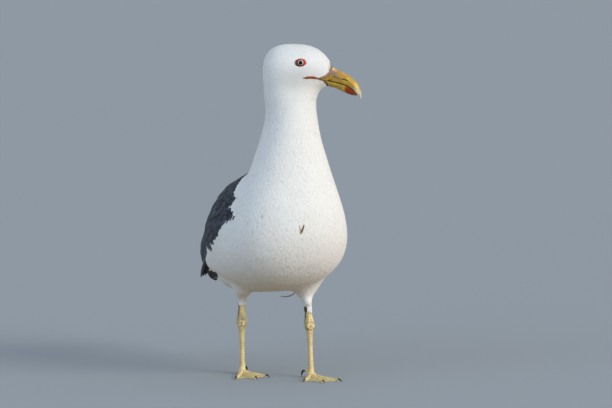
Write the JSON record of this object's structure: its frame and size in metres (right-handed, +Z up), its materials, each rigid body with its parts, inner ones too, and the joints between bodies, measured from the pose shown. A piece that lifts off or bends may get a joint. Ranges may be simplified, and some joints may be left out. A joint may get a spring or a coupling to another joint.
{
  "type": "standing kelp gull",
  "caption": "Life-size still model of an adult gull standing on both webbed feet, body upright, head turned to its left.",
  "frame": {"origin": "on the floor, below the middle of the bird's bounding box", "axes": "+Z up; the body faces -Y and its left side is towards +X; the head is turned to its left"},
  "size_m": [0.1604, 0.403, 0.4077],
  "materials": {
    "white_plumage": "soft matt white feathers, close and smooth",
    "slate_plumage": "matt slaty-black feathers with a faint blue sheen",
    "black_plumage": "black flight feathers with small white tips, slight sheen",
    "bill_horn": "smooth yellow horn with orange tones, a red spot at the gonys and a pale tip",
    "eye_ball": "wet glossy eye, pale cream iris and round black pupil",
    "leg_skin": "dull yellow-olive scaled skin with darker joints",
    "claw_horn": "smooth black horn"
  },
  "bodies": {
    "root": {"trunk": "white_plumage", "neck": "white_plumage", "head": "white_plumage", "mantle": "slate_plumage", "wing_right": "slate_plumage", "wing_left": "slate_plumage", "primaries_right": "black_plumage", "primaries_left": "black_plumage", "tail": "white_plumage", "bill_upper": "bill_horn", "bill_lower": "bill_horn", "eye_right": "eye_ball", "eye_left": "eye_ball", "thigh_left": "white_plumage", "shank_left": "leg_skin", "tarsus_left": "leg_skin", "foot_left": "leg_skin", "hallux_left": "leg_skin", "claw_outer_left": "claw_horn", "claw_middle_left": "claw_horn", "claw_inner_left": "claw_horn", "thigh_right": "white_plumage", "shank_right": "leg_skin", "tarsus_right": "leg_skin", "foot_right": "leg_skin", "hallux_right": "leg_skin", "claw_outer_right": "claw_horn", "claw_middle_right": "claw_horn", "claw_inner_right": "claw_horn"}
  },
  "joints": []
}
